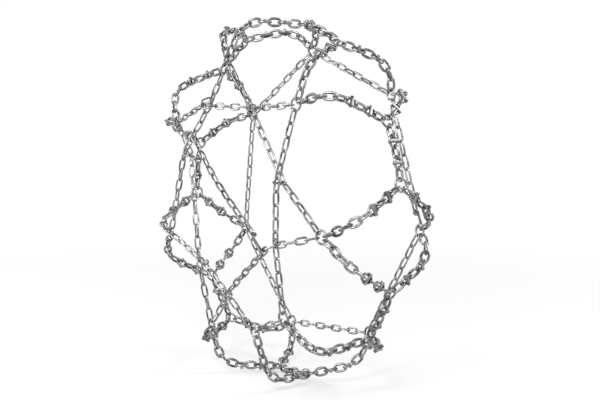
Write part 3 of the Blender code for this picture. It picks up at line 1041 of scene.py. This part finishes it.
def add_hook(node, joint, reach, bar_half, half_thickness=HOOK_HALF_THICKNESS, slant=0.0):
    """Hook that turns on the last link of a chain and drops over a bar at the given reach."""
    maker = bmesh.new()
    levels = []
    for level, inset in hook_levels(half_thickness):
        loops = hook_outline(reach, bar_half, half_thickness, slant, inset)
        levels.append([add_loop(maker, joint, points, level) for points in loops])
    for below, above in zip(levels, levels[1:]):
        for low_edges, high_edges in zip(below, above):
            bmesh.ops.bridge_loops(maker, edges=low_edges + high_edges)
    for outer_edges, eye_edges in (levels[0], levels[-1]):
        bmesh.ops.triangle_fill(maker, use_beauty=True, edges=outer_edges + eye_edges)
        for edge in outer_edges + eye_edges:
            edge.smooth = False
    bmesh.ops.recalc_face_normals(maker, faces=maker.faces)
    loose = [edge for edge in maker.edges if len(edge.link_faces) != 2]
    print(node, "faces:", len(maker.faces), "open edges:", len(loose))
    add_piece(node + "_forging", maker, hook_steel, node, [node], levels=0)


print("levels across a hook:", len(hook_levels(HOOK_HALF_THICKNESS)))

# %% [markdown]
# ## Side chains with their hook
# The side chains close the rear of the net. One of them is the net's rear fastening: it stops one link
# short, and a hook on its last link drops into the ring. The hook is a body of its own, which swings out.

# %% side chains with their hook
REAR_HOOK_PLACE = 0

for index, joints in enumerate(side_strands):
    if index == REAR_HOOK_PLACE:
        start, end = rear_rings[index], rear_rings[index + 1]
        seat = ring_joint(end, start.centre, RING_INNER, -1)
        joints = joints[:-1]
        way = seat.point - joints[-1].point
        joints[-1] = make_joint(joints[-1].point, way, end.out)
        add_hook("rear_hook", joints[-1], way.length, TREAD_LINK.wire / 2)
    add_strand_piece(f"rear_side_chain_{index + 1}", joints, LONG_LINK, long_steel)
print("side chains:", len(side_strands))

# %% [markdown]
# ## Closing chain and hook
# The front is fastened between the two rings of the closing place. Two long links hang on the first ring,
# and the hook on them drops into the second, so the hook's reach is what is left of the way between them.

# %% closing chain and hook
CLOSING_LINKS = 2

closing_start, closing_end = (ring for ring, _ in front_places[CLOSING_PLACE])
first = ring_joint(closing_start, closing_end.centre, RING_INNER - GAP, 1)
seat = ring_joint(closing_end, closing_start.centre, RING_INNER, -1)
way = seat.point - first.point
last_point = first.point + way.normalized() * CLOSING_LINKS * LONG_LINK.pitch
last = make_joint(last_point, way, closing_end.out)
closing_route = [(first.point, closing_start.out), (last_point, closing_start.out)]
closing_joints = strand_joints(closing_route, CLOSING_LINKS, first, last)
closing_reach = (seat.point - last_point).length
add_strand_piece("closing_chain", closing_joints, LONG_LINK, long_steel)
add_hook("closing_hook", last, closing_reach, TREAD_LINK.wire / 2)
print("closing hook reaches", round(closing_reach, 4), "m")

# %% [markdown]
# ## Route of the tension chain
# The tension chain hangs on a link of one star chain and pulls on a link of another, across the middle of
# the star. It holds on to lying links, because their long sides face it. A sine gives it a slight bow to
# the front, which keeps it clear of the strands that it passes.

# %% route of the tension chain
TENSION_FROM_STAR = 4
TENSION_TO_STAR = 1
TENSION_FROM = (312, 0.282, -0.180)
TENSION_TO = (123, 0.241, -0.205)
TENSION_HOOK_REACH = 0.070
TENSION_BOW = 0.016
TENSION_SWING_CLEARANCE = 0.0018


def lying_link(joints, place):
    """Middle of the lying link nearest to a place, and its way towards the net's axis."""
    target = round_point(math.radians(place[0]), *place[1:])
    middle = min(lying_links(joints), key=lambda link: (link.point - target).length)
    sense = 1 if middle.across.dot(-middle.point) > 0 else -1
    return middle, sense * middle.across


upper, upper_way = lying_link(star_strands[TENSION_FROM_STAR], TENSION_FROM)
lower, lower_way = lying_link(star_strands[TENSION_TO_STAR], TENSION_TO)
bar_face = upper.point + LONG_LINK.inner_half * upper_way
tension_start = bar_face - TENSION_SWING_CLEARANCE * upper_way
tension_seat = lower.point + LONG_LINK.inner_half * lower_way
tension_end = tension_seat - TENSION_HOOK_REACH * (tension_seat - tension_start).normalized()
forward = Vector((0, -1, 0))
tension_route = []
for step in range(ROUTE_STEPS + 1):
    share = step / ROUTE_STEPS
    bow = TENSION_BOW * math.sin(math.pi * share)
    tension_route.append((tension_start.lerp(tension_end, share) + bow * forward, forward))
print(f"tension chain: {route_length(tension_route):.3f} m")

# %% [markdown]
# ## Tension chain and hook
# A hook's eye fits round the end of a lying link, and the first link of a strand stands, so this chain has
# an even number of links. The star link that the nose drops over isn't quite square to the chain, so the
# nose stands a little further out, by that slant. The hook is thin, to pass through the star link.

# %% tension chain and hook
TENSION_HOOK_HALF_THICKNESS = 0.0026

tension_count = 2 * round(route_length(tension_route) / LONG_LINK.pitch / 2)
tension_first = make_joint(tension_start, upper_way, upper.out)
tension_last = make_joint(tension_end, tension_seat - tension_end, lower.out)
tension_joints = strand_joints(tension_route, tension_count, tension_first, tension_last)
add_strand_piece(
    "tension_chain", tension_joints, LONG_LINK, long_steel, body="tension_chain"
)
tension_slant = tension_last.along.angle(-lower_way)
add_hook(
    "tension_hook", tension_last, TENSION_HOOK_REACH, LONG_LINK.wire / 2,
    TENSION_HOOK_HALF_THICKNESS, tension_slant,
)
print("links in the tension chain:", tension_count)

# %% [markdown]
# ## Floor
# The net stands alone, in the round shape that it takes in use, over a plain floor at the bottom of its
# box. The box is read before the links are rounded, so the floor is about 2 mm under them. It is large, so
# that its edge is far from the camera.

# %% floor
FLOOR_SIDE = 40
visual_low, visual_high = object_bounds()

floor_maker = bmesh.new()
bmesh.ops.create_grid(floor_maker, x_segments=1, y_segments=1, size=FLOOR_SIDE / 2)
bmesh.ops.translate(floor_maker, verts=floor_maker.verts, vec=(0, 0, visual_low.z))
floor_mesh = as_mesh(floor_maker, "floor")
floor = bpy.data.objects.new("floor", floor_mesh)
bpy.context.scene.collection.objects.link(floor)
print("floor at", round(visual_low.z, 4), "m")

# %% [markdown]
# ## White floor with a soft shadow
# For the camera and in reflections the floor is as white as the background, so it glows there. Near the
# net it takes some of its light from the lamps and keeps a soft shadow. That share fades with distance, so
# no line shows where the floor ends.

# %% floor finish
SHADOW_SHARE = 0.45
SHADOW_FROM = 0.7
SHADOW_END = 3.0
FLOOR_WHITE = (0.86, 0.86, 0.86, 1)
FLOOR_ROUGHNESS = 0.9
WHITE = (1, 1, 1, 1)


def seen_directly(tree):
    """1 for rays from the camera and in reflections, and 0 for rays that light a surface."""
    rays = tree.nodes.new("ShaderNodeLightPath")
    names = ("Is Camera Ray", "Is Glossy Ray", "Is Transmission Ray")
    camera, glossy, through = (Socket(tree, rays.outputs[name]) for name in names)
    return (camera + glossy + through).clamped()


floor_material, floor_shader, floor_place = start_material("floor_white")
floor_shader.inputs["Base Color"].default_value = FLOOR_WHITE
floor_shader.inputs["Roughness"].default_value = FLOOR_ROUGHNESS
floor_shader.inputs["Specular IOR Level"].default_value = 0
glow = floor_place.node("Emission", None, {"Color": WHITE, "Strength": 1.0})
floor_tree = floor_material.node_tree
lit = Socket(floor_tree, floor_shader.outputs[0])
away = floor_place.node("VectorMath", {"operation": "LENGTH"}, {0: floor_place}, "Value")
shadow = SHADOW_SHARE * (1 - away.between(SHADOW_FROM, SHADOW_END))
glowing = (1 - shadow) * seen_directly(floor_tree)
white = floor_place.node("MixShader", None, {0: glowing, 1: lit, 2: glow})
connect(white, floor_tree.nodes["Material Output"], "Surface")
floor_mesh.materials.append(floor_material)
print("shadow fades out at", SHADOW_END, "m")

# %% [markdown]
# ## White background
# The background is pure white where it is seen, and dimmer as a light. Its full strength would fill every
# shadow and leave the links flat.

# %% world
AMBIENT = 0.55

world = bpy.data.worlds.new("studio")
bpy.context.scene.world = world
world.use_nodes = True
background = world.node_tree.nodes["Background"]
background.inputs["Color"].default_value = WHITE
connect(AMBIENT + (1 - AMBIENT) * seen_directly(world.node_tree), background, "Strength")
print("ambient light:", AMBIENT)

# %% [markdown]
# ## Lamps
# Bare metal shows what it reflects, so three broad lamps stand round the net like the soft boxes of a
# studio: the main one in front and above, a weaker one on the left, and one behind for the edges.

# %% lamps
LAMPS = (
    ("key_box", (1.9, -2.6, 2.4), 1.0, 90),
    ("fill_box", (-2.6, -1.8, 1.0), 1.2, 45),
    ("back_box", (1.5, 2.4, 1.8), 1.0, 50),
)
for name, place, side, power in LAMPS:
    lamp_data = bpy.data.lights.new(name, "AREA")
    lamp_data.size = side
    lamp_data.energy = power
    lamp = bpy.data.objects.new(name, lamp_data)
    lamp.location = place
    lamp.rotation_euler = (-Vector(place)).to_track_quat("-Z", "Y").to_euler()
    bpy.context.scene.collection.objects.link(lamp)
print("lamps:", [lamp[0] for lamp in LAMPS])

# %% [markdown]
# ## Camera
# The camera stands where the photo was taken from. Its turn, its rise and its focal length in pixels were
# fitted to round shapes of known size. It is then aimed so that a point on the net's axis falls on its
# pixel in the photo.

# %% camera
PHOTO_WIDTH = 600
PHOTO_MIDDLE = Vector((300, 200))
FOCAL_PIXELS = 968.7
SENSOR = 36
VIEW_TURN = math.radians(57.2)
VIEW_RISE = math.radians(6.2)
VIEW_DISTANCE = 3.0
AIM_POINT = Vector((0, -0.14, 0))
AIM_PIXEL = Vector((243.4, 202.2))

back = Vector((
    math.sin(VIEW_TURN) * math.cos(VIEW_RISE),
    -math.cos(VIEW_TURN) * math.cos(VIEW_RISE),
    math.sin(VIEW_RISE),
))
right = Vector((math.cos(VIEW_TURN), math.sin(VIEW_TURN), 0))
up = back.cross(right)
offset = (PHOTO_MIDDLE - AIM_PIXEL) / FOCAL_PIXELS
ray = offset.x * right - offset.y * up - back
camera_data = bpy.data.cameras.new("camera")
camera_data.sensor_width = SENSOR
camera_data.lens = FOCAL_PIXELS / PHOTO_WIDTH * SENSOR
camera = bpy.data.objects.new("camera", camera_data)
camera.location = AIM_POINT + VIEW_DISTANCE * back
camera.rotation_euler = ray.to_track_quat("-Z", "Y").to_euler()
bpy.context.scene.collection.objects.link(camera)
bpy.context.scene.camera = camera
bpy.context.scene.view_settings.view_transform = "Standard"
print("lens:", round(camera_data.lens, 1), "mm")

# %% [markdown]
# ## The end
# The size of the finished net is printed.

# %% finish
print("size:", [round(value, 4) for value in visual_high - visual_low])
